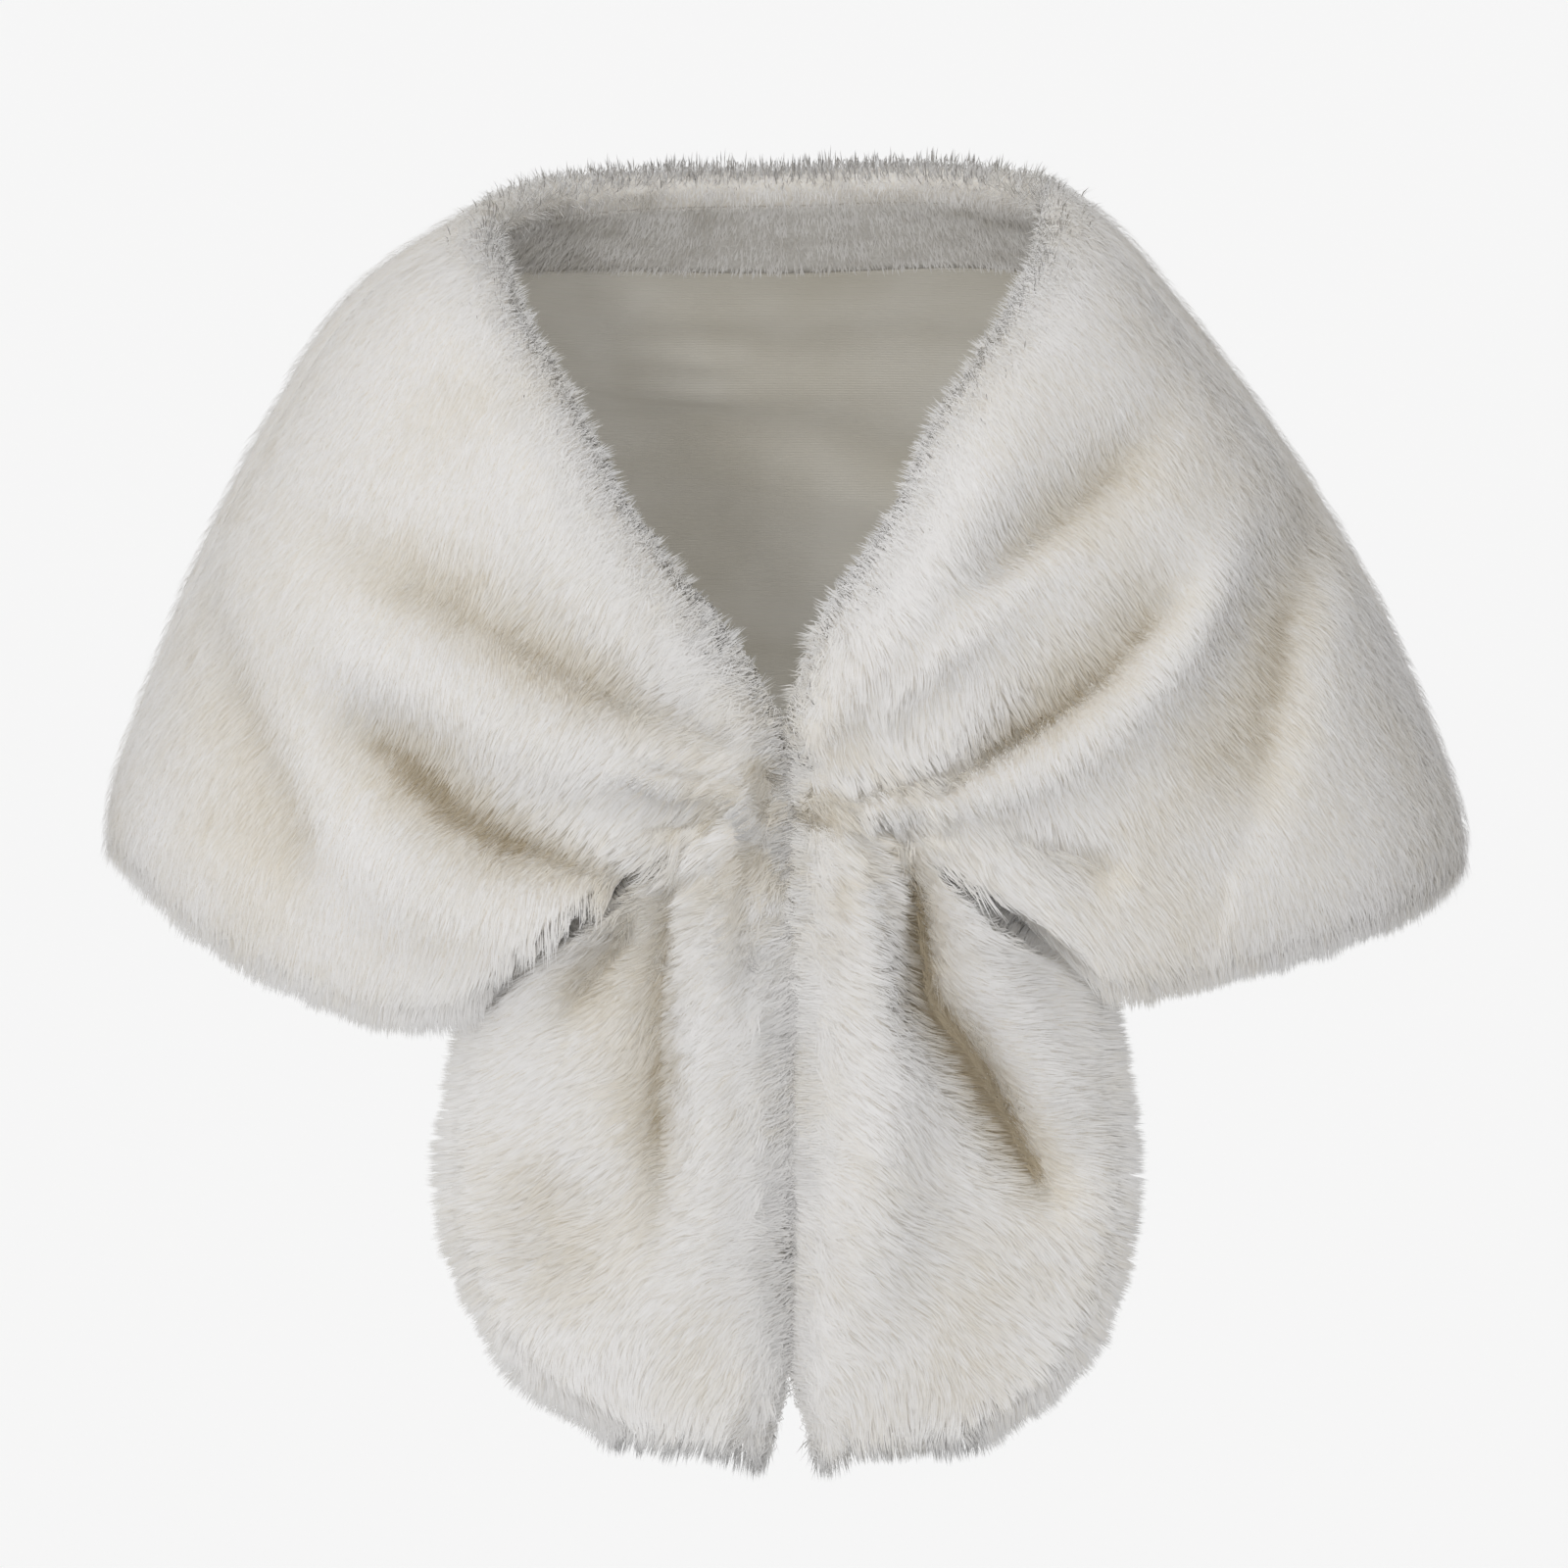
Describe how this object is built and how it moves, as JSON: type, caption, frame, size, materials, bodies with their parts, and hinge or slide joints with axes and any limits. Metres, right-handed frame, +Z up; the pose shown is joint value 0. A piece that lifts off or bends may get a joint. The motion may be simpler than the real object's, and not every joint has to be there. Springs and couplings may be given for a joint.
{
  "type": "faux fur shawl",
  "caption": "Short plush faux fur shawl, worn and hollow: it wraps both shoulders, is gathered at the centre front by a hidden clasp, and ends in rounded tails.",
  "frame": {"origin": "midway between the tops of the wearer's shoulders, where the shawl is held", "axes": "+Z up, the front faces -Y, +X is the wearer's left"},
  "size_m": [0.5603, 0.3255, 0.5091],
  "materials": {
    "fur": "plush ivory faux fur",
    "lining": "ivory satin",
    "facing_fur": "flattened ivory faux fur",
    "clasp": "plain steel"
  },
  "bodies": {
    "root": {"shell_back": "fur", "lining_back": "lining", "neck_facing": "facing_fur", "shell_front_right": "fur", "lining_front_right": "lining", "shell_tail_right": "fur", "lining_tail_right": "lining", "shell_front_left": "fur", "lining_front_left": "lining", "shell_tail_left": "fur", "lining_tail_left": "lining", "clasp_hook": "clasp", "clasp_eye": "clasp"}
  },
  "joints": []
}
